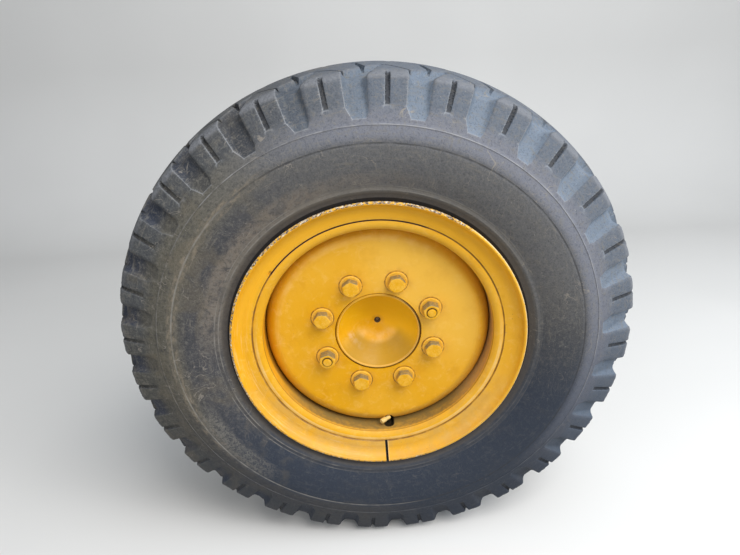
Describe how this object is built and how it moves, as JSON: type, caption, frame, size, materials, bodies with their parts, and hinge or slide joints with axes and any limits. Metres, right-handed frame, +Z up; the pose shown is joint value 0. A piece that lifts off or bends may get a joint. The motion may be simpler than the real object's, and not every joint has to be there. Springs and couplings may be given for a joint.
{
  "type": "motor grader wheel with axle end",
  "caption": "Lugged tyre on a yellow two-piece disc wheel with a dished hub, brake drum, back plate and the axle housing that carries it.",
  "frame": {"origin": "wheel axis, in the face of the axle housing's mounting flange that bolts to the tandem case", "axes": "+Y along the wheel axis into the machine, -Y out through the wheel's outer face, +Z up, +X to the right as seen from outside"},
  "size_m": [1.0548, 0.383, 1.055],
  "materials": {
    "tyre": "matt black rubber, dusty and weathered grey",
    "wheel_paint": "semi-gloss yellow paint over steel, worn at the edges",
    "ring_paint": "semi-gloss yellow paint, chipped to grey and rust along the lip",
    "hub_paint": "semi-gloss yellow paint on a forging",
    "bolt_paint": "brush-painted yellow over steel",
    "valve_paint": "yellow paint over brass",
    "housing_paint": "yellow paint on a rough casting, dusty",
    "plate_paint": "yellow paint on pressed steel, dusty",
    "drum_iron": "bare cast iron with brown rust",
    "bearing_steel": "ground steel, oiled",
    "fastener_steel": "plain steel, dull and lightly rusted",
    "fitting_brass": "dull brass",
    "seal_rubber": "black rubber"
  },
  "bodies": {
    "axle_end": {"axle_housing": "housing_paint", "outer_bearing_cup": "bearing_steel", "inner_bearing_cup": "bearing_steel", "oil_seal": "seal_rubber", "back_plate": "plate_paint", "plate_bolts": "fastener_steel", "brake_inlet": "fitting_brass", "bleed_screw": "fastener_steel", "anchor_nuts": "fastener_steel", "oil_plug": "fastener_steel"},
    "wheel": {"hub_shaft": "hub_paint", "outer_bearing_cone": "bearing_steel", "inner_bearing_cone": "bearing_steel", "bearing_nut": "bearing_steel", "brake_drum": "drum_iron", "wheel_disc": "wheel_paint", "rim_base": "wheel_paint", "side_ring": "ring_paint", "tyre": "tyre", "valve_stem": "valve_paint", "valve_cap": "valve_paint", "bolt_2": "bolt_paint", "bolt_3": "bolt_paint", "bolt_4": "bolt_paint", "bolt_6": "bolt_paint", "bolt_7": "bolt_paint", "bolt_8": "bolt_paint", "stud_1": "bolt_paint", "stud_5": "bolt_paint", "nut_1": "bolt_paint", "nut_5": "bolt_paint", "washer_1": "bolt_paint", "washer_2": "bolt_paint", "washer_3": "bolt_paint", "washer_4": "bolt_paint", "washer_5": "bolt_paint", "washer_6": "bolt_paint", "washer_7": "bolt_paint", "washer_8": "bolt_paint"}
  },
  "joints": [
    {"name": "wheel_spin", "type": "hinge", "parent": "axle_end", "child": "wheel", "pos_m": [0, -0.18, 0], "axis": [0, 1, 0], "continuous": true}
  ]
}
